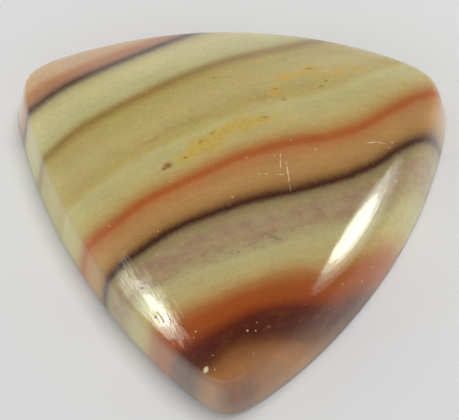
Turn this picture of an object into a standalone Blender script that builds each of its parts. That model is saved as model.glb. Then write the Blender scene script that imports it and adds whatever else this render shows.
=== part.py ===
"""A rounded-triangle cabochon of banded jasper: flat back, steep wall and low dome.

The stone lies on its flat back, with +Z up through the dome and its origin in the middle of
the back's bounding box. Its long corner points to -Y. Sizes are in millimetres until the mesh
is made.
"""

import math

import bmesh
import bpy

MM = 0.001

# Driving heights: the top of the dome, the line where wall and dome meet, and the back's bevel
THICKNESS = 6.0
SHOULDER_HEIGHT = 3.3
BACK_BEVEL = 0.3

# How far the wall has leaned in at the shoulder's height
WALL_LEAN = 0.48

# Each side is an arc: the way it faces in degrees, how far it bulges out from the middle,
# the radius of the arc, and how softly the wall rolls over into the dome above it
BACK_SIDE = {"faces": 89.3, "reach": 11.63, "radius": 29.6, "roll": 1.68}
LEFT_SIDE = {"faces": 209.3, "reach": 11.10, "radius": 40.0, "roll": 0.17}
RIGHT_SIDE = {"faces": 329.3, "reach": 11.47, "radius": 34.7, "roll": 2.56}
SIDES = (BACK_SIDE, LEFT_SIDE, RIGHT_SIDE)

# The hand-cut shoulder wanders on the left wall: direction in degrees, rise, and spread in degrees
SHOULDER_WANDER = ((238.0, 0.32, 10.0), (213.0, -0.35, 8.0))

# Where the three sides' middle lies, seen from the middle of the stone's box
MIDDLE_X = -0.103
MIDDLE_Y = 2.195

# Length over which two sides melt into a corner, at the edge and at the top of the dome
CORNER_BLEND = 0.77
CROWN_BLEND = 1.80

# Fullness of the dome: 2 is a parabola, and more is flatter on top
DOME_POWER = 2.1

# The share of every side's roll that reaches round to the directions no side faces
ROLL_FLOOR = 0.001

# Fineness of the mesh, and of the search for a point at a given inset
AROUND = 120
WALL_RINGS = 4
DOME_RINGS = 17
DOME_CROWDING = 1.6
SEARCH_STEPS = 40
SEARCH_REACH = 25.0

STONE_COLOUR = (0.39, 0.28, 0.13, 1.0)
STONE_ROUGHNESS = 0.12
SHARP_ANGLE = 30.0


def soft_min(values, blend):
    """The least of the values, rounded off where two or more of them come close."""
    least = min(values)
    total = sum(math.exp((least - value) / blend) for value in values)
    return least - blend * math.log(total)


def soft_min_pair(first, second, roll):
    """The lesser of two heights, rounded off over the length roll."""
    overlap = max(roll - abs(first - second), 0.0)
    return min(first, second) - overlap * overlap / (4.0 * roll)


def side_insets(x, y):
    """How far the point lies inside each side's arc, with x and y from the sides' middle."""
    insets = []
    for side in SIDES:
        facing = math.radians(side["faces"])
        back_off = side["radius"] - side["reach"]
        from_centre = math.hypot(x + back_off * math.cos(facing), y + back_off * math.sin(facing))
        insets.append(side["radius"] - from_centre)
    return insets


def edge_inset(x, y):
    """How far the point lies inside the stone's outline."""
    return soft_min(side_insets(x, y), CORNER_BLEND)


MIDDLE_EDGE_INSET = edge_inset(0.0, 0.0)
MIDDLE_DOME_INSET = soft_min(side_insets(0.0, 0.0), CROWN_BLEND)


def shoulder_roll(angle):
    """How softly the wall rolls into the dome in this direction, mixed from the three sides."""
    total = 0.0
    total_weight = 0.0
    for side in SIDES:
        weight = max(math.cos(angle - math.radians(side["faces"])), 0.0) ** 2 + ROLL_FLOOR
        total += weight * side["roll"]
        total_weight += weight
    return total / total_weight


def dome_foot(angle):
    """The height from which the dome rises in this direction."""
    height = SHOULDER_HEIGHT
    for faces, rise, spread in SHOULDER_WANDER:
        away = (math.degrees(angle) - faces + 180.0) % 360.0 - 180.0
        height += rise * math.exp(-0.5 * (away / spread) ** 2)
    return height


def wall_height(x, y):
    """The height of the leaning wall's plane above the back."""
    return BACK_BEVEL + (SHOULDER_HEIGHT - BACK_BEVEL) * edge_inset(x, y) / WALL_LEAN


def dome_height(x, y):
    """The height of the dome above the back, with contours that grow rounder towards the top."""
    inward = min(max(edge_inset(x, y) / MIDDLE_EDGE_INSET, 0.0), 1.0)
    blend = CORNER_BLEND + (CROWN_BLEND - CORNER_BLEND) * inward
    dome_inset = soft_min(side_insets(x, y), blend)
    climb = min((dome_inset - WALL_LEAN) / (MIDDLE_DOME_INSET - WALL_LEAN), 1.0)
    rise = THICKNESS - dome_foot(math.atan2(y, x))
    return THICKNESS - rise * (1.0 - climb) ** DOME_POWER


def surface_height(x, y):
    """The height of the stone's upper surface: the wall, rolling over into the dome."""
    roll = shoulder_roll(math.atan2(y, x))
    return soft_min_pair(wall_height(x, y), dome_height(x, y), roll)


def farthest(angle, is_inside):
    """The farthest point in this direction, from the sides' middle, that is_inside holds for."""
    near = 0.0
    far = SEARCH_REACH
    for _ in range(SEARCH_STEPS):
        radius = (near + far) / 2.0
        if is_inside(radius * math.cos(angle), radius * math.sin(angle)):
            near = radius
        else:
            far = radius
    return near * math.cos(angle), near * math.sin(angle)


def point_at_inset(angle, inset):
    """The point in this direction that lies this far inside the outline."""
    return farthest(angle, lambda x, y: edge_inset(x, y) > inset)


def shoulder_inset(angle):
    """How far inside the outline the wall and the dome meet in this direction."""
    return edge_inset(*farthest(angle, lambda x, y: wall_height(x, y) > dome_height(x, y)))


def placed(x, y, z):
    """A point from the sides' middle, in metres in the stone's own frame."""
    return ((x + MIDDLE_X) * MM, (y + MIDDLE_Y) * MM, z * MM)


def add_ring(mesh, points):
    """Adds the points to the mesh as a closed ring of edges."""
    corners = [mesh.verts.new(placed(*point)) for point in points]
    edges = [mesh.edges.new((corners[step - 1], corners[step])) for step in range(AROUND)]
    return corners, edges


def back_ring(angles):
    """The rim of the flat back, inside the bevel."""
    return [(*point_at_inset(angle, BACK_BEVEL), 0.0) for angle in angles]


def surface_ring(angles, insets):
    """A ring on the upper surface, with an inset for each direction."""
    points = [point_at_inset(angle, inset) for angle, inset in zip(angles, insets)]
    return [(x, y, surface_height(x, y)) for x, y in points]


def upper_rings(angles):
    """The rings from the outline up the wall to its shoulder, and on over the dome."""
    shoulder = [shoulder_inset(angle) for angle in angles]
    for step in range(WALL_RINGS + 1):
        yield surface_ring(angles, [inset * step / WALL_RINGS for inset in shoulder])
    for step in range(1, DOME_RINGS + 1):
        climb = (step / (DOME_RINGS + 1)) ** DOME_CROWDING
        insets = [inset + (MIDDLE_EDGE_INSET - inset) * climb for inset in shoulder]
        yield surface_ring(angles, insets)


def stone_material():
    """Polished stone in the stone's average colour."""
    material = bpy.data.materials.new("jasper")
    material.use_nodes = True
    shader = material.node_tree.nodes["Principled BSDF"]
    shader.inputs["Base Color"].default_value = STONE_COLOUR
    shader.inputs["Roughness"].default_value = STONE_ROUGHNESS
    shader.inputs["Metallic"].default_value = 0.0
    return material


def make_cabochon():
    """Lofts rings from the flat back over the wall to the top of the dome."""
    angles = [2.0 * math.pi * step / AROUND for step in range(AROUND)]
    mesh = bmesh.new()
    corners, lower_edges = add_ring(mesh, back_ring(angles))
    mesh.faces.new(reversed(corners))
    for ring in upper_rings(angles):
        corners, upper_edges = add_ring(mesh, ring)
        bmesh.ops.bridge_loops(mesh, edges=lower_edges + upper_edges)
        lower_edges = upper_edges
    cap = mesh.faces.new(corners)
    crown = bmesh.ops.poke(mesh, faces=[cap])["verts"][0]
    crown.co = placed(0.0, 0.0, surface_height(0.0, 0.0))
    bmesh.ops.recalc_face_normals(mesh, faces=mesh.faces)

    data = bpy.data.meshes.new("cabochon")
    mesh.to_mesh(data)
    mesh.free()
    data.shade_smooth()
    data.set_sharp_from_angle(angle=math.radians(SHARP_ANGLE))
    data.materials.append(stone_material())
    stone = bpy.data.objects.new("cabochon", data)
    bpy.context.scene.collection.objects.link(stone)
    return stone


for item in list(bpy.data.objects):
    bpy.data.objects.remove(item, do_unlink=True)

make_cabochon()
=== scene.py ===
import math

import bpy
import numpy as np
from mathutils import Matrix, Vector, noise


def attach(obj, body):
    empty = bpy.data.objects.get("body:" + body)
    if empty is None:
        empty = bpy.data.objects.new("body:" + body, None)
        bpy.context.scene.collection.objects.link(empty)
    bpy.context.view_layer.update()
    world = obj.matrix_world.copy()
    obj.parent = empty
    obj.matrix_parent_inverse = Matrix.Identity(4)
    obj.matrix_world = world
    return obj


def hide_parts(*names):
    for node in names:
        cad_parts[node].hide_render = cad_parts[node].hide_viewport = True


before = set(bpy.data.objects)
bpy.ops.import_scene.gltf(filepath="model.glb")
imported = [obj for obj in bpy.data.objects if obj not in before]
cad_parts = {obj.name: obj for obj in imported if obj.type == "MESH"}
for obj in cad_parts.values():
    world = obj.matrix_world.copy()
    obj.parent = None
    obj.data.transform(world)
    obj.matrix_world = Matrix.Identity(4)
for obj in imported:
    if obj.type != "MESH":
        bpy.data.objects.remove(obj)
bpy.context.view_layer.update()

# Everything about the stone is in millimetres, in the frame's own axes, until it becomes a mesh
MM = 0.001

# The stone's form, as in the CAD source
THICKNESS = 6.0
SHOULDER_HEIGHT = 3.3
BACK_BEVEL = 0.3
WALL_LEAN = 0.48
BACK_SIDE = {"faces": 89.3, "reach": 11.63, "radius": 29.6, "roll": 1.68}
LEFT_SIDE = {"faces": 209.3, "reach": 11.10, "radius": 40.0, "roll": 0.17}
RIGHT_SIDE = {"faces": 329.3, "reach": 11.47, "radius": 34.7, "roll": 2.56}
SIDES = (BACK_SIDE, LEFT_SIDE, RIGHT_SIDE)
MIDDLE = (-0.103, 2.195)
CORNER_BLEND = 0.77
CROWN_BLEND = 1.80
DOME_POWER = 2.1
ROLL_FLOOR = 0.001

# How much farther than the solid's the roll reaches, to start and end without a line
ROLL_REACH = 1.5

# The least roll of the polished shoulder
SHOULDER_SOFTNESS = 0.55

# The hand-cut shoulder dips on the left side: direction in degrees, rise, spread in degrees,
# and how fast it fades inward
SHOULDER_DIP = {"faces": 211.0, "rise": -0.2, "spread": 10.0, "fading": 7.0}

# Towards the long corner the left shoulder is softer and its wall steeper: the middle of this
# stretch, how far from it in degrees it is full and where it ends, and the roll and lean it reaches
SOFT_STRETCH = {"faces": 247.0, "full": 15.0, "ends": 38.5, "roll": 3.0, "lean": 0.2}

# On the right the dome falls away sooner towards its edge: the same, with its depth and breadth, and
# a limit to how it grows outside the stone, where 1 is what it reaches at the edge
ROUND_STRETCH = {"faces": 330.0, "full": 38.0, "ends": 66.0, "depth": 1.1, "breadth": 2.6, "limit": 1.2}

# Shrinks the visible stone by a hair, so that its waves stay inside the solid's box
HAIR = 0.998

# Fineness of the visible surface
AROUND = 720
WALL_RINGS = 16
BEVEL_RINGS = 3
DOME_RINGS = 84
WALL_CROWDING = 1.5
DOME_CROWDING = 1.6
SEARCH_STEPS = 40
SEARCH_REACH = 25.0

# Edges sharper than this, in degrees, aren't shaded smooth
SHARP_ANGLE = 25.0

# Faint unevenness that hand polishing leaves: height and width of its waves
WAVES = ((0.0060, 3.5), (0.0018, 1.0))

# The photograph's camera: how steeply it looks down in degrees, its distance, the point of the floor
# that it aims at, the picture's width and scale in pixels, and the width of its sensor
ELEVATION = 57.0
DISTANCE = 200.0
AIM = (-0.184, 1.378)
PHOTO_WIDTH = 459
PIXELS_PER_MM = 15.514
SENSOR_WIDTH = 36.0

# The nearest and the farthest that the camera sees, in metres
CLIP_NEAR, CLIP_FAR = 0.01, 10.0

# The floor: half its width in metres, its colour and its roughness
FLOOR_HALF = 0.6
FLOOR_COLOUR = (0.82, 0.82, 0.82, 1.0)
FLOOR_ROUGHNESS = 0.9

# How far the lamps stand from the stone, in metres. Their places and half sizes are in degrees
# as seen from it
LAMP_DISTANCE = 0.35

# Brightness of the room by the sine of the elevation, towards each side of it
ROOM = {
    "right": ((0.0, 0.6), (0.25, 0.4), (0.4, 0.3), (0.6, 0.25), (0.92, 0.17), (1.0, 0.15)),
    "left": ((0.0, 0.8), (0.12, 1.1), (0.35, 1.0), (0.55, 0.5), (0.7, 0.25), (0.92, 0.17), (1.0, 0.15)),
    "front": ((0.0, 0.7), (0.3, 1.0), (0.5, 1.1), (0.65, 0.95), (0.8, 0.4), (0.92, 0.2), (1.0, 0.15)),
    "back": ((0.0, 0.7), (0.12, 0.9), (0.3, 0.75), (0.5, 0.35), (0.7, 0.25), (0.92, 0.17), (1.0, 0.15)),
}

# How squarely a direction faces each of these sides where it begins and where it is full
SIDE_FADES = {"left": (-0.5, 0.5), "front": (0.15, 0.85), "back": (0.3, 0.9)}

# The wide ceiling light leaves no reflection of its own: azimuth, elevation, half width, half
# height, tilt and brightness
CEILING = (70.0, 70.0, 15.0, 15.0, 0.0, 6.7)

# The lamps that the gloss reflects have a faint green tinge, and light nothing matt
LAMP_COLOUR = (0.9, 1.0, 0.88)

# Name, shape, azimuth, elevation, half width, half height, tilt and brightness
LAMPS = (
    ("left_core", "RECTANGLE", 186.3, 44.9, 2.5, 1.8, 0.0, 12.5),
    ("left_side", "RECTANGLE", 185.0, 44.6, 3.8, 4.0, -10.0, 6.8),
    ("left_foot", "RECTANGLE", 190.2, 44.0, 1.8, 3.2, 6.0, 8.5),
    ("left_end", "RECTANGLE", 179.6, 39.8, 1.8, 3.6, 12.0, 4.0),
    ("left_tail", "RECTANGLE", 183.2, 37.8, 4.4, 3.5, 0.0, 2.7),
    ("right_core", "ELLIPSE", 8.0, 41.2, 5.8, 6.4, -20.0, 12.0),
    ("right_tail", "ELLIPSE", 4.6, 35.6, 6.0, 5.4, -15.0, 4.8),
    ("right_glow", "ELLIPSE", 7.8, 39.0, 9.0, 8.6, -20.0, 3.2),
    ("right_fringe", "ELLIPSE", 5.4, 35.2, 11.0, 12.0, -15.0, 1.9),
    ("right_rim", "ELLIPSE", 3.8, 32.0, 13.0, 14.5, -10.0, 1.3),
)


def soft_min(values, blend):
    """The least of the arrays, rounded off where two or more of them come close."""
    least = np.min(values, axis=0)
    return least - blend * np.log(np.sum(np.exp((least - values) / blend), axis=0))


def side_insets(x, y):
    """How far points lie inside each side's arc, with x and y from the sides' middle."""
    insets = []
    for side in SIDES:
        facing = math.radians(side["faces"])
        back_off = side["radius"] - side["reach"]
        from_centre = np.hypot(x + back_off * math.cos(facing), y + back_off * math.sin(facing))
        insets.append(side["radius"] - from_centre)
    return np.array(insets)


def edge_inset(x, y):
    """How far points lie inside the stone's outline."""
    return soft_min(side_insets(x, y), CORNER_BLEND)


MIDDLE_EDGE_INSET = float(edge_inset(0.0, 0.0))
MIDDLE_DOME_INSET = float(soft_min(side_insets(0.0, 0.0), CROWN_BLEND))


def eased(value):
    """0 to 1 with a soft start and a soft end."""
    share = np.clip(value, 0.0, 1.0)
    return share * share * (3.0 - 2.0 * share)


def along_stretch(angle, stretch):
    """1 along a stretch of the shoulder, fading to 0 away from it."""
    away = np.abs((np.degrees(angle) - stretch["faces"] + 180.0) % 360.0 - 180.0)
    return 1.0 - eased((away - stretch["full"]) / (stretch["ends"] - stretch["full"]))


def shoulder_roll(angle):
    """How softly the wall rolls into the dome in each direction, mixed from the three sides."""
    weights = []
    for side in SIDES:
        squarely = np.maximum(np.cos(angle - math.radians(side["faces"])), 0.0)
        weights.append(squarely ** 2 + ROLL_FLOOR)
    rolls = [weight * side["roll"] for weight, side in zip(weights, SIDES)]
    mixed = np.maximum(np.sum(rolls, axis=0) / np.sum(weights, axis=0), SHOULDER_SOFTNESS)
    return mixed + along_stretch(angle, SOFT_STRETCH) * np.maximum(SOFT_STRETCH["roll"] - mixed, 0.0)


def wall_height(x, y):
    """The height of the leaning wall's plane above the back."""
    lean = WALL_LEAN + along_stretch(np.arctan2(y, x), SOFT_STRETCH) * (SOFT_STRETCH["lean"] - WALL_LEAN)
    return BACK_BEVEL + (SHOULDER_HEIGHT - BACK_BEVEL) * edge_inset(x, y) / lean


def dome_height(x, y):
    """The height of the dome, with contours that grow rounder towards the top."""
    inset = edge_inset(x, y)
    inward = np.clip(inset / MIDDLE_EDGE_INSET, 0.0, 1.0)
    blend = CORNER_BLEND + (CROWN_BLEND - CORNER_BLEND) * inward
    dome_inset = soft_min(side_insets(x, y), blend)
    outward = 1.0 - np.minimum((dome_inset - WALL_LEAN) / (MIDDLE_DOME_INSET - WALL_LEAN), 1.0)
    away = (np.degrees(np.arctan2(y, x)) - SHOULDER_DIP["faces"] + 180.0) % 360.0 - 180.0
    dip = SHOULDER_DIP["rise"] * np.exp(-0.5 * (away / SHOULDER_DIP["spread"]) ** 2)
    fall = (THICKNESS - SHOULDER_HEIGHT) * outward ** DOME_POWER
    near_edge = np.clip(1.0 - inset / ROUND_STRETCH["breadth"], 0.0, ROUND_STRETCH["limit"])
    rounding = ROUND_STRETCH["depth"] * along_stretch(np.arctan2(y, x), ROUND_STRETCH) * near_edge ** 3
    return THICKNESS - fall + dip * outward ** SHOULDER_DIP["fading"] - rounding


def surface_height(x, y):
    """The height of the stone's upper surface: the wall, rolling over into the dome."""
    wall = wall_height(x, y)
    dome = dome_height(x, y)
    roll = shoulder_roll(np.arctan2(y, x))
    reach = ROLL_REACH * roll
    overlap = np.maximum(reach - np.abs(wall - dome), 0.0) / reach
    return np.minimum(wall, dome) - reach * overlap ** 3 / 6.0


def farthest(angles, is_inside):
    """The farthest points in these directions, from the sides' middle, that is_inside holds for."""
    near = np.zeros_like(angles)
    far = np.full_like(angles, SEARCH_REACH)
    for _ in range(SEARCH_STEPS):
        radius = (near + far) / 2.0
        inside = is_inside(radius * np.cos(angles), radius * np.sin(angles))
        near = np.where(inside, radius, near)
        far = np.where(inside, far, radius)
    return near * np.cos(angles), near * np.sin(angles)


def ring_at(angles, insets, height=None):
    """A ring of points at these insets, on the surface unless a height is given."""
    x, y = farthest(angles, lambda px, py: edge_inset(px, py) > insets)
    z = surface_height(x, y) if height is None else np.full_like(x, height)
    return np.stack([x, y, z], axis=1)


def stone_rings():
    """Rings from the rim of the flat back, round the bevel, up the wall and over the dome."""
    angles = np.linspace(0.0, 2.0 * math.pi, AROUND, endpoint=False)
    shoulder = edge_inset(*farthest(angles, lambda x, y: wall_height(x, y) > dome_height(x, y)))
    rings = []
    for step in range(BEVEL_RINGS):
        share = step / BEVEL_RINGS
        rings.append(ring_at(angles, np.full_like(angles, BACK_BEVEL * (1.0 - share)), BACK_BEVEL * share))
    for step in range(WALL_RINGS + 1):
        share = 1.0 - (1.0 - step / WALL_RINGS) ** WALL_CROWDING
        rings.append(ring_at(angles, shoulder * share))
    for step in range(1, DOME_RINGS + 1):
        climb = (step / (DOME_RINGS + 1)) ** DOME_CROWDING
        rings.append(ring_at(angles, shoulder + (MIDDLE_EDGE_INSET - shoulder) * climb))
    return np.array(rings)


def polish_wave(point):
    """How far hand polishing left this point off the ideal surface."""
    total = 0.0
    for height, width in WAVES:
        total += height * noise.noise(Vector(point) / width)
    return total


def stone_points():
    """The points of the visible stone: its rings from the back up, and last the dome's top."""
    points = np.concatenate([stone_rings().reshape(-1, 3), [[0.0, 0.0, THICKNESS]]])
    points[:, :2] = (points[:, :2] + MIDDLE) * HAIR
    return points


def stone_faces(crown):
    """The flat back, the bands from ring to ring, and the fan round the last point, the crown."""
    around = np.arange(AROUND)
    following = np.roll(around, -1)
    faces = [list(range(AROUND - 1, -1, -1))]
    last = crown - AROUND
    for low in range(0, last, AROUND):
        high = low + AROUND
        band = [low + around, low + following, high + following, high + around]
        faces += np.stack(band, axis=1).tolist()
    faces += [[last + a, last + b, crown] for a, b in zip(around.tolist(), following.tolist())]
    return faces


def add_waves(mesh, points):
    """Moves the wall and the dome in and out a little, but nowhere above the dome's top."""
    normals = np.zeros(points.size)
    mesh.vertices.foreach_get("normal", normals)
    normals = normals.reshape(-1, 3)
    for index in range(BEVEL_RINGS * AROUND, len(points)):
        points[index] += normals[index] * polish_wave(points[index])
    points[:, 2] = np.minimum(points[:, 2], THICKNESS)
    mesh.vertices.foreach_set("co", (points * MM).ravel())
    mesh.update()


def make_stone():
    """The visible stone: a fine mesh, close to the CAD solid's form and faintly uneven."""
    points = stone_points()
    mesh = bpy.data.meshes.new("stone")
    mesh.from_pydata(points * MM, [], stone_faces(len(points) - 1))
    mesh.shade_smooth()
    mesh.set_sharp_from_angle(angle=math.radians(SHARP_ANGLE))
    add_waves(mesh, points)
    stone = bpy.data.objects.new("stone", mesh)
    bpy.context.scene.collection.objects.link(stone)
    return stone


def pigment(red, green, blue):
    """The stone's own colour, from its look in this light on a screen, 0 to 255."""
    look = [((c / 255.0 + 0.055) / 1.055) ** 2.4 for c in (red, green, blue)]
    return (*[max(c - GLOSS_VEIL, DARKEST) / LIGHT_LEVEL for c in look], 1.0)


class Shader:
    """Adds nodes to a tree and joins them up."""

    def __init__(self, tree):
        self.tree = tree

    def feed(self, socket, value):
        """Gives a socket a value, or joins it to another socket."""
        if isinstance(value, bpy.types.NodeSocket):
            self.tree.links.new(value, socket)
        else:
            socket.default_value = value

    def add(self, kind, inputs=None, **settings):
        """Adds a node. inputs gives its sockets, by name or number, a value or another socket."""
        node = self.tree.nodes.new("ShaderNode" + kind)
        for name, value in settings.items():
            setattr(node, name, value)
        for key, value in (inputs or {}).items():
            self.feed(node.inputs[key], value)
        return node

    def math(self, operation, *values):
        """A sum worked out on single numbers."""
        return self.add("Math", dict(enumerate(values)), operation=operation).outputs[0]

    def product(self, first, second):
        """Two numbers multiplied."""
        return self.math("MULTIPLY", first, second)

    def most(self, first, *others):
        """The greatest of the numbers."""
        for other in others:
            first = self.math("MAXIMUM", first, other)
        return first

    def vector(self, operation, *values):
        """A sum worked out on vectors."""
        return self.add("VectorMath", dict(enumerate(values)), operation=operation).outputs[0]

    def turned(self, vector, degrees):
        """The vector as seen by axes turned this far about +Z."""
        values = {"Vector": vector, "Angle": -math.radians(degrees)}
        return self.add("VectorRotate", values, rotation_type="Z_AXIS").outputs[0]

    def split(self, vector):
        """The three numbers of a vector."""
        return self.add("SeparateXYZ", {0: vector}).outputs

    def remap(self, value, low, high, to_low=0.0, to_high=1.0, smooth=False):
        """The value carried from one range to another, and kept inside it."""
        kind = "SMOOTHSTEP" if smooth else "LINEAR"
        ends = {"Value": value, "From Min": low, "From Max": high, "To Min": to_low, "To Max": to_high}
        return self.add("MapRange", ends, interpolation_type=kind).outputs["Result"]

    def noise(self, vector, scale, detail=2.0, roughness=0.5):
        """Cloudy noise, mostly from 0.3 to 0.7."""
        values = {"Vector": vector, "Scale": scale, "Detail": detail, "Roughness": roughness}
        return self.add("TexNoise", values).outputs["Fac"]

    def mix(self, factor, first, second):
        """The first colour where the factor is 0, the second where it is 1."""
        node = self.add("Mix", data_type="RGBA")
        colours = [socket for socket in node.inputs if socket.type == "RGBA"]
        self.feed(node.inputs["Factor"], factor)
        self.feed(colours[0], first)
        self.feed(colours[1], second)
        return next(socket for socket in node.outputs if socket.type == "RGBA")

    def ramp(self, value, stops, low, high):
        """A colour for each value between low and high. stops pairs values with colours."""
        node = self.add("ValToRGB", {"Fac": self.remap(value, low, high)})
        elements = node.color_ramp.elements
        for index, (position, colour) in enumerate(stops):
            place = (position - low) / (high - low)
            element = elements[index] if index < 2 else elements.new(place)
            element.position = place
            element.color = colour
        return node.outputs["Color"]


# The way the rock's layers run, in degrees from +X, and how far from the stone's middle their
# curves reach
STRIKE = 20.0
SPAN = 16.0

# The layers' boundaries: the depth of each below the first, and a curve through a few points,
# given by how far along the layers and how far across them they lie
HORIZONS = (
    # thin dark line in the upper left corner
    (0.0, ((-16, 10.2), (-10.3, 10.75), (-9.5, 10.88), (-8.5, 11.02), (-6.5, 11.24), (-4.5, 11.5),
           (-2.5, 11.86), (-0.1, 12.45), (1.0, 12.74), (1.74, 12.9), (3.5, 13.2), (16, 15.2))),
    # soft olive-brown line
    (3.8, ((-16, 6.2), (-9.5, 7.06), (-8.5, 7.29), (-7.5, 7.48), (-5.5, 7.62), (-3.5, 7.89), (-1.5, 8.24),
           (0.5, 8.62), (2.5, 8.92), (4.5, 9.08), (6.5, 9.12), (8.5, 9.36), (9.6, 9.5), (16, 10.4))),
    # brick red line
    (11.2, ((-16, -1.8), (-9, 0.05), (-8, 0.14), (-6, 0.5), (-5, 0.6), (-3, 0.73), (-1, 0.98), (0, 1.13),
            (1, 1.23), (3, 1.28), (4, 1.25), (5, 1.14), (6, 0.98), (7, 0.91), (8, 1.0), (9, 1.14), (10, 1.45),
            (11, 1.86), (12, 2.24), (14, 2.97), (16, 3.4))),
    # dark brown line
    (14.2, ((-16, -4.2), (-9.6, -2.86), (-9, -2.73), (-8, -2.44), (-7, -2.33), (-6, -2.21), (-4, -2.05),
            (-2, -2.05), (0, -2.0), (1, -2.04), (2, -2.11), (3, -2.2), (5, -2.15), (7, -1.93), (8, -1.68),
            (9, -1.42), (10, -1.06), (11, -0.63), (12, -0.25), (13, 0.09), (14, 0.42), (16, 1.3))),
    # lower edge of the mauve layer
    (17.2, ((-16, -6.5), (-8.4, -5.4), (-6.2, -5.15), (-4.8, -5.1), (-2.8, -5.3), (-1.4, -5.35),
            (1.7, -5.15), (3, -4.95), (5.3, -4.9), (8.5, -4.4), (10.8, -3.3), (16, -1))),
    # top of the orange-red layer
    (19.4, ((-16, -8), (-8.1, -7.25), (-6, -7.2), (-4.4, -7.3), (-1.4, -7.2), (2, -7.13), (3.6, -7.5),
            (5.2, -7.1), (8.5, -5.8), (10, -5.2), (16, -3))),
    # top of the dark brown band
    (21.5, ((-16, -10.5), (-7.3, -9.7), (-4.7, -9.62), (-1.7, -9.28), (0.7, -9.38), (3, -9.4), (5, -8.6),
            (7, -7.8), (16, -5))),
    # bottom of the dark brown band
    (22.8, ((-16, -12), (-6.5, -11.0), (-5.2, -10.95), (-4, -10.52), (-2.15, -10.55), (-0.24, -10.7),
            (1.3, -10.55), (2.4, -10.2), (4.2, -9.45), (6, -8.8), (16, -6))),
    # top of the mauve layer at the long corner
    (24.5, ((-16, -13), (-5.4, -12.4), (-3.2, -12.37), (-2, -12.06), (16, -10))),
)

# Painted light in the thin rim, as if light got into it: the heights where it starts and is full, the share
# that its look takes over the stone's own colour, and how much brighter it makes red, green and blue
RIM_FROM, RIM_FULL = 4.2, 2.0
RIM_LIGHT_SHARE = 0.03
RIM_LIGHT_LOOK = (222, 208, 160)
RIM_LIGHT_GAIN = (0.2, 0.28, 0.2)

# Painted light on the sides that face right, a glow, and a painted reflection of the pale room on those that
# face back: how squarely they do where it starts and is full, how much brighter the glow makes them, and the
# reflection's share and look
RIGHT_FROM, RIGHT_FULL = 0.5, 0.8
RIGHT_GLOW_GAIN = 0.2
BACK_FROM, BACK_FULL = 0.38, 0.85
BACK_REFLECTION_SHARE = 0.4
BACK_REFLECTION_LOOK = (226, 221, 224)

# Painted light from the floor in the lowest part of the wall: its heights, share and look
FOOT_FROM, FOOT_FULL = 1.8, 0.3
FLOOR_LIGHT_SHARE = 0.13
FLOOR_LIGHT_LOOK = (222, 228, 216)

# The same painted light up the whole wall left of the long corner: how squarely a wall there faces the
# front where it starts and is full, how squarely right where it ends and is full, and its share
FRONT_FROM, FRONT_FULL = -0.5, -0.72
FRONT_RIGHT_ENDS, FRONT_RIGHT_FULL = 0.3, -0.55
FRONT_LIGHT_SHARE = 0.14

# Noise that moves the layers' boundaries: its stretch, scale, detail and roughness, and the reach
# of the move in millimetres
BROAD_WAVER = ((0.35, 1.0, 0.5), 0.6, 2.0, 0.5, 0.2)
FINE_WAVER = ((1.0, 1.0, 1.0), 3.5, 4.0, 0.65, 0.26)

# Blotches: the depths where they start, are full, fade and end, the noise where they start and
# are full, and their strength and look. The first two lie in the mauve layer, the last in the
# dark band
BLOTCHES = (
    ((14.7, 15.3, 16.6, 17.5), (0.46, 0.64), 0.55, (150, 116, 98)),
    ((14.7, 15.3, 16.6, 17.5), (0.48, 0.34), 0.4, (166, 147, 112)),
    ((21.2, 21.7, 22.8, 23.5), (0.5, 0.68), 0.35, (112, 70, 48)),
)
BLOTCH_STRETCH = (0.7, 1.3, 1.0)
BLOTCH_NOISE = (1.5, 4.0, 0.55)

# The ochre's grain: the noise, the range of it that counts, and the least of the paint
OCHRE_NOISE = (3.5, 3.0, 0.7)
OCHRE_RANGE = (0.3, 0.6)
OCHRE_LEAST = 0.45

# Noise that shakes the edges of marks: its detail, and for each use its scale and its reach in
# millimetres
SHAKE_DETAIL = 2.0
RAGGED = (1.8, 0.8)
ROUGH_EDGED = (7.0, 0.1)
SCRATCH_SHAKE = (3.0, 0.05)

# How soft the marks' edges are, where 0 is sharp
TAN_EDGE = 0.6
OCHRE_EDGE = 0.75
TIP_EDGE = 0.8
BROWN_EDGE = 0.8
GREY_EDGE = 0.7
RUST_EDGE = 0.9
CHIP_EDGE = 0.3
SPECK_EDGE = 0.6
SCRATCH_EDGE = 0.5
SCUFF_EDGE = 0.4

# Strength and look of the smears and spots
TAN_PAINT = (0.5, (163, 138, 84))
OCHRE_PAINT = (0.85, (189, 156, 66))
TIP_PAINT = (0.7, (112, 76, 70))
BROWN_PAINT = (0.7, (128, 96, 46))
GREY_PAINT = (0.6, (96, 84, 66))
RUST_PAINT = (0.9, (132, 84, 42))
LIFTED_PAINT = (0.75, (230, 208, 164))
CHIP_PAINT = (0.9, (212, 202, 160))

# Grain of the rock: scale, detail and strength of its clouds, its streaks along the layers, and
# its speckle
CLOUDS = (0.55, 3.0, 0.22)
STREAKS = (1.0, 3.0, 0.26)
STREAK_STRETCH = (0.5, 3.2, 1.5)
SPECKLE = ((2.6, 2.0, 0.24), (5.5, 2.0, 0.4))
GRAIN_SATURATION = 0.4

# Dust: cells of its pattern per millimetre, the share of them without a grain, how far from a cell's
# middle a grain starts and is full, and the strength of the strongest
DUST_CELLS = 1.3
DUSTLESS = 0.5
DUST_FROM, DUST_FULL = 0.11, 0.04
DUST_STRENGTH = 0.6

# Noise that breaks the scratches: its scale and detail, and where a scratch starts and is whole
GAP_NOISE = (4.0, 2.0)
GAP_RANGE = (0.38, 0.5)

# The gloss of polished stone, and the faint velvet that fine wear gives it
GLOSS_INDEX = 1.54
SHEEN = 0.26
SHEEN_ROUGHNESS = 0.4

# Polish: roughness of the best of it, and what smears, worn marks and scuffs add to it
POLISHED = 0.05
SMEARED = 0.04
WORN = 0.35
SCUFFS = 0.2

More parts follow.
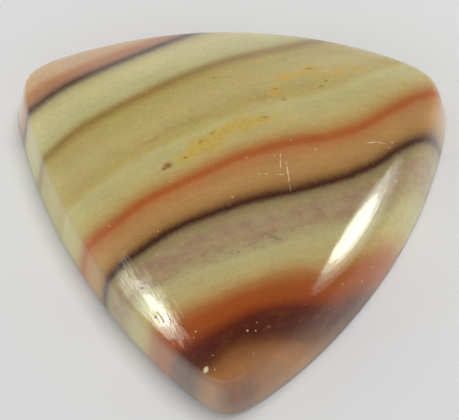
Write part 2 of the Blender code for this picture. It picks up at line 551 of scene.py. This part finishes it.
# Smears: scale and detail of their noise, and where in it one starts and is full. Scuffs: the same
# range, in the noise of the polishing lines
SMEAR_NOISE = (0.8, 3.0)
SMEAR_RANGE = (0.4, 0.7)
SCUFF_RANGE = (0.5, 0.58)

# The ground back: its roughness, and the heights where it starts and is full
GROUND = 0.42
GROUND_FROM, GROUND_FULL = 0.45, 0.15

# The way the polishing lines run, in degrees from +X, and how the noise is stretched for them and
# for the grinding lines on the back
POLISH_WAY = 119.0
POLISH_STRETCH = (0.6, 6.0, 3.0)
GRINDING_STRETCH = (1.0, 16.0, 1.0)

# Scale and detail of the noise for polishing lines, grinding lines and lumps, with the first one's
# roughness
POLISH_NOISE = (1.0, 4.0, 0.6)
GRINDING_NOISE = (1.0, 3.0)
LUMP_NOISE = (2.4, 3.0)

# Relief: its depth in millimetres, and the shares that polishing lines have away from the
# scuffs and on them, and that lumps, grinding lines and pits have
RELIEF = 0.0022
LINES_SHARE, SCUFFED_LINES_SHARE = 0.2, 0.45
LUMPS_SHARE = 0.7
GRINDING_SHARE = 6.0
PITS_SHARE = 0.8

# Light that the stone's matt colour sends back, the light its gloss adds over it, and the least
# that any colour sends back
LIGHT_LEVEL = 0.89
GLOSS_VEIL = 0.015
DARKEST = 0.003

# Colours through the layers, as the eye sees them, by depth in millimetres below the first line
UPPER_COLOURS = (
    (-3.0, (194, 164, 130)), (-1.6, (190, 156, 120)), (-1.0, (174, 122, 82)), (-0.5, (158, 115, 88)),
    (-0.22, (120, 90, 68)), (-0.02, (82, 62, 48)), (0.2, (118, 102, 80)), (0.5, (168, 156, 113)),
    (0.9, (187, 175, 124)), (1.4, (194, 182, 130)), (2.2, (186, 178, 127)), (3.0, (178, 170, 119)),
    (3.3, (170, 156, 104)), (3.55, (150, 126, 74)), (3.75, (142, 116, 64)), (4.0, (154, 130, 74)),
    (4.4, (170, 151, 90)), (5.0, (174, 157, 99)), (6.2, (181, 164, 108)), (7.2, (174, 156, 100)),
    (7.8, (175, 156, 94)), (8.4, (185, 173, 119)), (8.8, (181, 169, 116)), (9.5, (183, 168, 112)),
    (10.1, (181, 158, 102)), (10.5, (175, 142, 88)),
)
LOWER_COLOURS = (
    (10.5, (175, 142, 88)), (10.8, (169, 120, 68)), (11.1, (163, 93, 50)), (11.35, (164, 92, 52)),
    (11.6, (172, 112, 67)), (12.0, (171, 123, 75)), (12.5, (175, 131, 82)), (13.0, (170, 129, 80)),
    (13.5, (157, 117, 70)), (13.8, (130, 94, 57)), (14.05, (88, 58, 38)), (14.25, (68, 42, 32)),
    (14.42, (102, 80, 56)), (14.6, (134, 115, 84)), (15.0, (150, 133, 93)), (15.6, (157, 134, 104)),
    (16.5, (160, 138, 103)), (17.0, (167, 151, 109)), (17.6, (177, 165, 117)), (18.6, (179, 160, 108)),
    (19.2, (175, 141, 90)), (19.6, (163, 111, 64)), (20.1, (154, 84, 45)), (20.8, (146, 74, 38)),
    (21.1, (128, 62, 32)), (21.4, (99, 48, 24)), (21.7, (86, 45, 21)), (22.4, (82, 45, 26)),
    (22.8, (100, 59, 36)), (23.2, (128, 82, 52)), (23.9, (152, 102, 62)), (25.0, (138, 96, 74)),
)

# The depths that the colours reach up to, change tables at, and reach down to
SHOWN_LOW = -3.0
SHOWN_SPLIT = 10.5
SHOWN_HIGH = 26.0


def horizon(shader, along, points):
    """The place of one layer boundary across the layers, for each place along them."""
    node = shader.add("FloatCurve", {"Value": shader.remap(along, -SPAN, SPAN)})
    curve = node.mapping.curves[0].points
    for index, (along_mm, across_mm) in enumerate(points):
        place = ((along_mm + SPAN) / (2 * SPAN), (across_mm + SPAN) / (2 * SPAN))
        if index < 2:
            curve[index].location = place
        else:
            curve.new(*place)
    node.mapping.update()
    return shader.remap(node.outputs[0], 0.0, 1.0, -SPAN, SPAN)


def layer_depth(shader, along, across):
    """Depth through the layers below the first line, stretched so each boundary has one depth."""
    places = [horizon(shader, along, points) for _, points in HORIZONS]
    depths = [depth for depth, _ in HORIZONS]
    above = shader.most(shader.math("SUBTRACT", across, places[0]), 0.0)
    below = shader.most(shader.math("SUBTRACT", places[-1], across), 0.0)
    total = shader.math("ADD", shader.math("SUBTRACT", below, above), depths[0])
    for index in range(len(places) - 1):
        gap = depths[index + 1] - depths[index]
        passed = shader.remap(across, places[index], places[index + 1], 0.0, gap)
        total = shader.math("ADD", total, passed)
    return total


# Marks on the dome, seen from above: x, y, half length, half width and turn in degrees
OCHRE_TRAIL = (
    (-3.05, 1.40, 0.75, 0.30, 15), (-2.50, 1.95, 0.65, 0.42, 38), (-1.79, 2.40, 1.10, 0.62, 22),
    (-0.95, 3.10, 0.85, 0.48, 35), (-0.10, 3.60, 0.70, 0.40, 25), (0.67, 4.00, 0.90, 0.62, 22),
    (1.90, 4.40, 0.80, 0.30, 8),
)
OCHRE_SPOTS = (
    (3.37, 7.91, 0.60, 0.32, 15), (4.10, 8.20, 0.45, 0.20, 25), (4.99, 8.72, 0.62, 0.36, 5),
    (6.08, 8.31, 0.85, 0.26, 20), (6.93, 8.69, 0.50, 0.36, 10), (7.41, 9.49, 0.55, 0.20, 20),
    (8.24, 9.07, 0.60, 0.24, 5), (2.78, 6.67, 0.50, 0.30, 30), (10.20, 10.10, 0.45, 0.16, 0),
)
TAN_SMEARS = (
    (1.57, 5.97, 0.75, 0.20, 8), (-2.60, 4.20, 1.10, 0.24, 28), (-4.60, 3.20, 1.30, 0.20, 30),
)
BROWN_SPOTS = (
    (6.00, 7.73, 0.09, 0.07, 0), (5.67, 7.24, 0.11, 0.08, 30), (3.29, 5.96, 0.10, 0.07, 0),
    (-1.18, 7.80, 0.09, 0.07, 0), (2.74, 6.86, 0.16, 0.05, 20), (4.92, 8.86, 0.18, 0.07, 10),
    (2.10, 4.52, 0.16, 0.05, 0), (-2.00, 2.62, 0.16, 0.05, 35), (-1.25, 3.32, 0.18, 0.05, 35),
    (-2.95, 1.45, 0.12, 0.07, 0),
)
DARK_TIP = ((-0.05, -13.7, 1.0, 0.4, 5), (0.9, -13.2, 0.7, 0.3, 30))
RUST_PIT = ((-4.05, 0.94, 0.24, 0.20, 25), (-4.28, 0.74, 0.16, 0.12, 0))
GREY_SPOTS = (
    (2.11, -4.05, 0.12, 0.06, 10), (2.72, -4.27, 0.22, 0.10, -15), (2.97, -4.30, 0.12, 0.08, 0),
    (0.37, -5.35, 0.11, 0.08, 0), (1.86, -4.20, 0.09, 0.06, 0), (2.35, -4.23, 0.08, 0.05, 0),
    (-0.05, -5.42, 0.10, 0.05, 0), (-5.60, -6.91, 0.08, 0.04, 20), (-4.75, -8.82, 0.09, 0.04, 30),
)
CHIP = ((-1.62, -12.46, 0.17, 0.145, 60),)
LIGHT_SPECKS = (
    (-1.09, -12.51, 0.050, 0.037, 0), (-2.26, -10.18, 0.050, 0.043, 0), (8.12, -5.37, 0.025, 0.050, -31),
    (8.84, -4.31, 0.019, 0.043, -31), (0.92, -10.26, 0.050, 0.043, 0), (1.41, -10.21, 0.043, 0.037, 0),
    (10.37, 1.05, 0.056, 0.043, 0), (10.97, -0.61, 0.043, 0.037, 0), (5.23, 2.19, 0.056, 0.050, 0),
    (2.64, 1.60, 0.050, 0.031, 0), (1.69, 0.17, 0.050, 0.043, 0), (2.13, 0.18, 0.050, 0.037, 0),
    (10.16, 3.57, 0.050, 0.043, 0), (9.96, 3.17, 0.043, 0.037, 0), (0.88, 1.43, 0.050, 0.031, 20),
    (0.00, -1.53, 0.056, 0.043, 30), (-3.72, -10.12, 0.099, 0.031, 10), (-1.20, -11.70, 0.037, 0.031, 0),
)
SCRATCHES = (
    (8.87, 3.26, 0.29, 0.030, 19), (9.42, 3.37, 0.30, 0.030, 3), (3.02, 1.20, 0.63, 0.030, 90),
    (3.50, 0.21, 0.97, 0.035, -83), (3.01, 0.20, 0.26, 0.028, -1),
)

# Where fine scuffs streak the gloss
SCUFFED = ((-5.00, -7.90, 3.90, 1.40, 121),)


def mark(shader, place, x, y, half_length, half_width, turn, softness):
    """1 inside an oval mark and 0 outside it, with an edge as soft as asked."""
    away = shader.turned(shader.vector("SUBTRACT", place, (x, y, 0.0)), turn)
    scaled = shader.vector("MULTIPLY", away, (1.0 / half_length, 1.0 / half_width, 0.0))
    reach = shader.add("VectorMath", {0: scaled}, operation="LENGTH").outputs["Value"]
    return shader.remap(reach, 1.0 + softness, 1.0 - softness, smooth=True)


def marks(shader, place, ovals, softness):
    """1 inside any of the oval marks."""
    return shader.most(*[mark(shader, place, *oval, softness) for oval in ovals])


def jittered(shader, place, scale, amount):
    """The place, shaken by noise so that what is drawn there gets a ragged edge."""
    shake = shader.add("TexNoise", {"Vector": place, "Scale": scale, "Detail": SHAKE_DETAIL})
    centred = shader.vector("SUBTRACT", shake.outputs["Color"], (0.5, 0.5, 0.5))
    return shader.vector("ADD", place, shader.vector("MULTIPLY", centred, (amount,) * 3))


def tinted(shader, colour, place, scale, detail, strength):
    """The colour, made lighter, darker and a little redder or greener by noise."""
    grain = shader.add("TexNoise", {"Vector": place, "Scale": scale, "Detail": detail}).outputs["Color"]
    grain = shader.add("HueSaturation", {"Color": grain, "Saturation": GRAIN_SATURATION}).outputs["Color"]
    factor = shader.vector("MULTIPLY_ADD", grain, (strength,) * 3, (1.0 - strength / 2.0,) * 3)
    return shader.vector("MULTIPLY", colour, factor)


def between(shader, value, start, full, fading, end):
    """1 between full and fading, easing off to 0 at start and at end."""
    rise = shader.remap(value, start, full, smooth=True)
    fall = shader.remap(value, fading, end, 1.0, 0.0, smooth=True)
    return shader.product(rise, fall)


def layer_colours(shader, depth):
    """The colour of the rock at this depth through its layers."""
    def stops(colours):
        return [(place, pigment(*colour)) for place, colour in colours]

    upper = shader.ramp(depth, stops(UPPER_COLOURS), SHOWN_LOW, SHOWN_SPLIT)
    lower = shader.ramp(depth, stops(LOWER_COLOURS), SHOWN_SPLIT, SHOWN_HIGH)
    return shader.mix(shader.math("GREATER_THAN", depth, SHOWN_SPLIT), upper, lower)


def painted(shader, colour, mask, strength, look):
    """The colour, with another over it where the mask is."""
    return shader.mix(shader.product(mask, strength), colour, pigment(*look))


class Places:
    """Where a point of the stone lies in millimetres, in the ways that the material needs."""

    def __init__(self, shader):
        metres = shader.add("TexCoord").outputs["Object"]
        self.here = shader.vector("MULTIPLY", metres, (1.0 / MM,) * 3)
        self.height = shader.split(self.here)["Z"]
        self.turned = shader.turned(self.here, STRIKE)
        self.above = shader.vector("MULTIPLY", self.here, (1.0, 1.0, 0.0))
        self.ragged = jittered(shader, self.above, *RAGGED)
        self.rough_edged = jittered(shader, self.above, *ROUGH_EDGED)


class Damage:
    """Where the stone is marked: grey pits, a chip, scuffs, and pale specks, dust and scratches."""

    def __init__(self, shader, at):
        self.greys = marks(shader, at.rough_edged, GREY_SPOTS, GREY_EDGE)
        self.chip = marks(shader, at.rough_edged, CHIP, CHIP_EDGE)
        self.scuffed = marks(shader, at.above, SCUFFED, SCUFF_EDGE)
        specks = marks(shader, at.rough_edged, LIGHT_SPECKS, SPECK_EDGE)
        self.lifted = shader.most(specks, dust(shader, at), scratches(shader, at))


def dust(shader, at):
    """Grains of dust, near the middle of some of a pattern's cells."""
    cells = shader.add("TexVoronoi", {"Vector": at.here, "Scale": DUST_CELLS})
    chance = shader.add("SeparateColor", {0: cells.outputs["Color"]}).outputs[0]
    near_middle = shader.remap(cells.outputs["Distance"], DUST_FROM, DUST_FULL, smooth=True)
    return shader.product(shader.remap(chance, DUSTLESS, 1.0, 0.0, DUST_STRENGTH), near_middle)


def scratches(shader, at):
    """Pale scratches, broken here and there."""
    shaken = jittered(shader, at.above, *SCRATCH_SHAKE)
    gaps = shader.remap(shader.noise(at.above, *GAP_NOISE), *GAP_RANGE)
    return shader.product(marks(shader, shaken, SCRATCHES, SCRATCH_EDGE), gaps)


def wavering(shader, at, stretch, scale, detail, roughness, reach):
    """How far noise moves the layers at this place."""
    noise_here = shader.noise(shader.vector("MULTIPLY", at.turned, stretch), scale, detail, roughness)
    return shader.product(shader.math("SUBTRACT", noise_here, 0.5), reach)


def wavering_depth(shader, at):
    """Depth through the layers, whose boundaries waver a little."""
    along, across, _ = shader.split(at.turned)
    shift = shader.math("ADD", wavering(shader, at, *BROAD_WAVER), wavering(shader, at, *FINE_WAVER))
    return layer_depth(shader, along, shader.math("ADD", across, shift))


def blotched(shader, at, colour, depth):
    """The colour, with blotches in the mauve layer and the dark band."""
    stretched = shader.vector("MULTIPLY", at.turned, BLOTCH_STRETCH)
    blotches = shader.noise(stretched, *BLOTCH_NOISE)
    for depths, ends, strength, look in BLOTCHES:
        mask = shader.product(between(shader, depth, *depths), shader.remap(blotches, *ends, smooth=True))
        colour = painted(shader, colour, mask, strength, look)
    return colour


def spotted(shader, at, colour, damage):
    """The colour, with its smears of tan and ochre, the dark tip, and brown, grey and rust spots."""
    grain = shader.noise(at.above, *OCHRE_NOISE)
    grainy = shader.remap(grain, *OCHRE_RANGE, OCHRE_LEAST, 1.0, smooth=True)
    ochre = shader.product(marks(shader, at.ragged, OCHRE_TRAIL + OCHRE_SPOTS, OCHRE_EDGE), grainy)
    tan = marks(shader, at.ragged, TAN_SMEARS, TAN_EDGE)
    dark_tip = marks(shader, at.ragged, DARK_TIP, TIP_EDGE)
    browns = marks(shader, at.rough_edged, BROWN_SPOTS, BROWN_EDGE)
    rust = marks(shader, at.rough_edged, RUST_PIT, RUST_EDGE)
    colour = painted(shader, colour, tan, *TAN_PAINT)
    colour = painted(shader, colour, ochre, *OCHRE_PAINT)
    colour = painted(shader, colour, dark_tip, *TIP_PAINT)
    colour = painted(shader, colour, browns, *BROWN_PAINT)
    colour = painted(shader, colour, damage.greys, *GREY_PAINT)
    return painted(shader, colour, rust, *RUST_PAINT)


def grained(shader, at, colour):
    """The colour, with the clouds, streaks and speckle of the rock."""
    colour = tinted(shader, colour, at.here, *CLOUDS)
    colour = tinted(shader, colour, shader.vector("MULTIPLY", at.turned, STREAK_STRETCH), *STREAKS)
    for speckle in SPECKLE:
        colour = tinted(shader, colour, at.here, *speckle)
    return colour


def painted_light_and_reflection(shader, at, colour):
    """The colour with painted light: a paler rim, a glow on the sides facing right, floor light low on the
    wall and up it left of the long corner, and a painted reflection on the sides facing back.
    """
    rightward, backward, _ = shader.split(shader.add("TexCoord").outputs["Normal"])
    # Painted light: the thin rim is made paler and brighter towards its foot, by height
    rim = shader.remap(at.height, RIM_FROM, RIM_FULL, smooth=True)
    colour = painted(shader, colour, rim, RIM_LIGHT_SHARE, RIM_LIGHT_LOOK)
    # Painted glow on the sides that face right, brightening the colour
    painted_glow = shader.remap(rightward, RIGHT_FROM, RIGHT_FULL, smooth=True)
    right_gain = shader.math("MULTIPLY_ADD", painted_glow, RIGHT_GLOW_GAIN, 1.0)
    gain = shader.vector("MULTIPLY_ADD", rim, RIM_LIGHT_GAIN, right_gain)
    colour = shader.vector("MULTIPLY", colour, gain)
    # Painted light from the floor, low on the wall
    foot = shader.remap(at.height, FOOT_FROM, FOOT_FULL, smooth=True)
    colour = painted(shader, colour, foot, FLOOR_LIGHT_SHARE, FLOOR_LIGHT_LOOK)
    # Painted light up the wall left of the long corner
    front = shader.remap(backward, FRONT_FROM, FRONT_FULL, smooth=True)
    not_right = shader.remap(rightward, FRONT_RIGHT_ENDS, FRONT_RIGHT_FULL, smooth=True)
    painted_wall_light = shader.product(rim, shader.product(front, not_right))
    colour = painted(shader, colour, painted_wall_light, FRONT_LIGHT_SHARE, FLOOR_LIGHT_LOOK)
    # Painted reflection of the pale room on the sides that face back
    back_reflection = shader.remap(backward, BACK_FROM, BACK_FULL, smooth=True)
    return painted(shader, colour, back_reflection, BACK_REFLECTION_SHARE, BACK_REFLECTION_LOOK)


def stone_colour(shader, at, damage):
    """The rock's colour with all its marks, and painted light and reflection near its edges."""
    depth = wavering_depth(shader, at)
    colour = layer_colours(shader, depth)
    colour = blotched(shader, at, colour, depth)
    colour = spotted(shader, at, colour, damage)
    colour = grained(shader, at, colour)
    # Painted light and painted reflection near the stone's edges
    colour = painted_light_and_reflection(shader, at, colour)
    colour = painted(shader, colour, damage.lifted, *LIFTED_PAINT)
    return painted(shader, colour, damage.chip, *CHIP_PAINT)


def stone_roughness(shader, at, damage, lines, ground):
    """Glossy above, duller on marks and scuffs, and ground matt on the back and its bevel."""
    scuffs = shader.product(damage.scuffed, shader.remap(lines, *SCUFF_RANGE))
    worn = shader.most(damage.lifted, damage.chip, damage.greys)
    smears = shader.remap(shader.noise(at.above, *SMEAR_NOISE), *SMEAR_RANGE, 0.0, SMEARED)
    roughness = shader.math("ADD", smears, POLISHED)
    roughness = shader.math("ADD", roughness, shader.product(worn, WORN))
    roughness = shader.math("ADD", roughness, shader.product(scuffs, SCUFFS))
    return shader.most(roughness, shader.product(ground, GROUND))


def stone_relief(shader, at, damage, lines, ground):
    """Fine lines left by polishing, faint lumps, grinding lines on the back, and pits."""
    lines_share = shader.remap(damage.scuffed, 0.0, 1.0, LINES_SHARE, SCUFFED_LINES_SHARE)
    lumps = shader.product(shader.noise(at.here, *LUMP_NOISE), LUMPS_SHARE)
    relief = shader.math("ADD", shader.product(lines, lines_share), lumps)
    across_back = shader.noise(shader.vector("MULTIPLY", at.turned, GRINDING_STRETCH), *GRINDING_NOISE)
    grinding = shader.product(across_back, shader.product(ground, GRINDING_SHARE))
    pits = shader.product(shader.most(damage.greys, damage.chip), PITS_SHARE)
    height = shader.math("SUBTRACT", shader.math("ADD", relief, grinding), pits)
    return shader.add("Bump", {"Height": height, "Distance": RELIEF * MM, "Strength": 1.0})


def jasper():
    """Polished banded jasper, solid all the way through."""
    material = bpy.data.materials.new("banded_jasper")
    material.use_nodes = True
    shader = Shader(material.node_tree)
    at = Places(shader)
    damage = Damage(shader, at)
    polish_way = shader.turned(at.here, POLISH_WAY)
    lines = shader.noise(shader.vector("MULTIPLY", polish_way, POLISH_STRETCH), *POLISH_NOISE)
    ground = shader.remap(at.height, GROUND_FROM, GROUND_FULL, smooth=True)
    relief = stone_relief(shader, at, damage, lines, ground)

    surface = material.node_tree.nodes["Principled BSDF"]
    shader.feed(surface.inputs["Base Color"], stone_colour(shader, at, damage))
    shader.feed(surface.inputs["Roughness"], stone_roughness(shader, at, damage, lines, ground))
    shader.feed(surface.inputs["Normal"], relief.outputs["Normal"])
    surface.inputs["IOR"].default_value = GLOSS_INDEX
    surface.inputs["Sheen Weight"].default_value = SHEEN
    surface.inputs["Sheen Roughness"].default_value = SHEEN_ROUGHNESS
    return material


def make_floor():
    """A pale, plain floor, much larger than the stone."""
    mesh = bpy.data.meshes.new("floor")
    corners = [(x * FLOOR_HALF, y * FLOOR_HALF, 0.0) for x, y in ((-1, -1), (1, -1), (1, 1), (-1, 1))]
    mesh.from_pydata(corners, [], [(0, 1, 2, 3)])
    floor = bpy.data.objects.new("floor", mesh)
    bpy.context.scene.collection.objects.link(floor)
    material = bpy.data.materials.new("pale_floor")
    material.use_nodes = True
    surface = material.node_tree.nodes["Principled BSDF"]
    surface.inputs["Base Color"].default_value = FLOOR_COLOUR
    surface.inputs["Roughness"].default_value = FLOOR_ROUGHNESS
    mesh.materials.append(material)


def toward(azimuth, elevation):
    """The direction at this azimuth from +X and this elevation."""
    a = math.radians(azimuth)
    e = math.radians(elevation)
    return Vector((math.cos(a) * math.cos(e), math.sin(a) * math.cos(e), math.sin(e)))


def add_lamp(name, shape, azimuth, elevation, half_width, half_height, tilt, radiance):
    """A soft lamp, its place and half sizes in degrees as seen from the stone."""
    facing = toward(azimuth, elevation)
    sideways = Vector((-math.sin(math.radians(azimuth)), math.cos(math.radians(azimuth)), 0.0))
    upright = facing.cross(sideways)
    lean = math.radians(tilt)
    wide = sideways * math.cos(lean) + upright * math.sin(lean)
    high = facing.cross(wide)
    light = bpy.data.lights.new(name, "AREA")
    light.shape = shape
    light.size = 2.0 * LAMP_DISTANCE * math.tan(math.radians(half_width))
    light.size_y = 2.0 * LAMP_DISTANCE * math.tan(math.radians(half_height))
    filled = math.pi / 4.0 if shape == "ELLIPSE" else 1.0
    light.energy = radiance * math.pi * light.size * light.size_y * filled
    lamp = bpy.data.objects.new(name, light)
    turn = Matrix((wide, high, facing)).transposed()
    lamp.matrix_world = Matrix.Translation(facing * LAMP_DISTANCE) @ turn.to_4x4()
    bpy.context.scene.collection.objects.link(lamp)
    return lamp


def make_lights():
    """Two groups of lamps for the gloss, and a ceiling light for the colours."""
    for lamp in LAMPS:
        light = add_lamp(*lamp)
        light.data.color = LAMP_COLOUR
        light.visible_diffuse = False
    add_lamp("ceiling", "ELLIPSE", *CEILING).visible_glossy = False


def make_room():
    """A grey room around the stone, dim above, with a brightness of its own towards each side."""
    world = bpy.data.worlds.new("room")
    world.use_nodes = True
    shader = Shader(world.node_tree)
    heading = shader.add("TexCoord").outputs["Generated"]
    height = shader.split(heading)["Z"]
    ramps = {}
    for side, stops in ROOM.items():
        greys = [(sine, (grey, grey, grey, 1.0)) for sine, grey in stops]
        ramps[side] = shader.ramp(height, greys, 0.0, 1.0)
    level = shader.vector("MULTIPLY", heading, (1.0, 1.0, 0.0))
    rightward, backward, _ = shader.split(shader.vector("NORMALIZE", level))
    facing = {
        "left": shader.product(rightward, -1.0),
        "front": shader.product(backward, -1.0),
        "back": backward,
    }
    light = ramps["right"]
    for side, fade in SIDE_FADES.items():
        light = shader.mix(shader.remap(facing[side], *fade, smooth=True), light, ramps[side])
    background = world.node_tree.nodes["Background"]
    shader.feed(background.inputs["Color"], light)
    background.inputs["Strength"].default_value = 1.0
    bpy.context.scene.world = world


def make_camera():
    """The photograph's camera: in front of the long corner, looking down."""
    data = bpy.data.cameras.new("camera")
    data.sensor_width = SENSOR_WIDTH
    data.lens = PIXELS_PER_MM * DISTANCE * SENSOR_WIDTH / PHOTO_WIDTH
    data.clip_start = CLIP_NEAR
    data.clip_end = CLIP_FAR
    camera = bpy.data.objects.new("camera", data)
    back = toward(-90.0, ELEVATION)
    camera.location = Vector((*AIM, 0.0)) * MM + back * DISTANCE * MM
    camera.rotation_mode = "QUATERNION"
    camera.rotation_quaternion = (-back).to_track_quat("-Z", "Y")
    bpy.context.scene.collection.objects.link(camera)
    bpy.context.scene.camera = camera


bpy.context.scene.view_settings.view_transform = "Standard"
make_camera()
make_lights()
make_room()
make_floor()
stone = make_stone()
stone.data.materials.append(jasper())
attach(stone, "root")
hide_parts("cabochon")
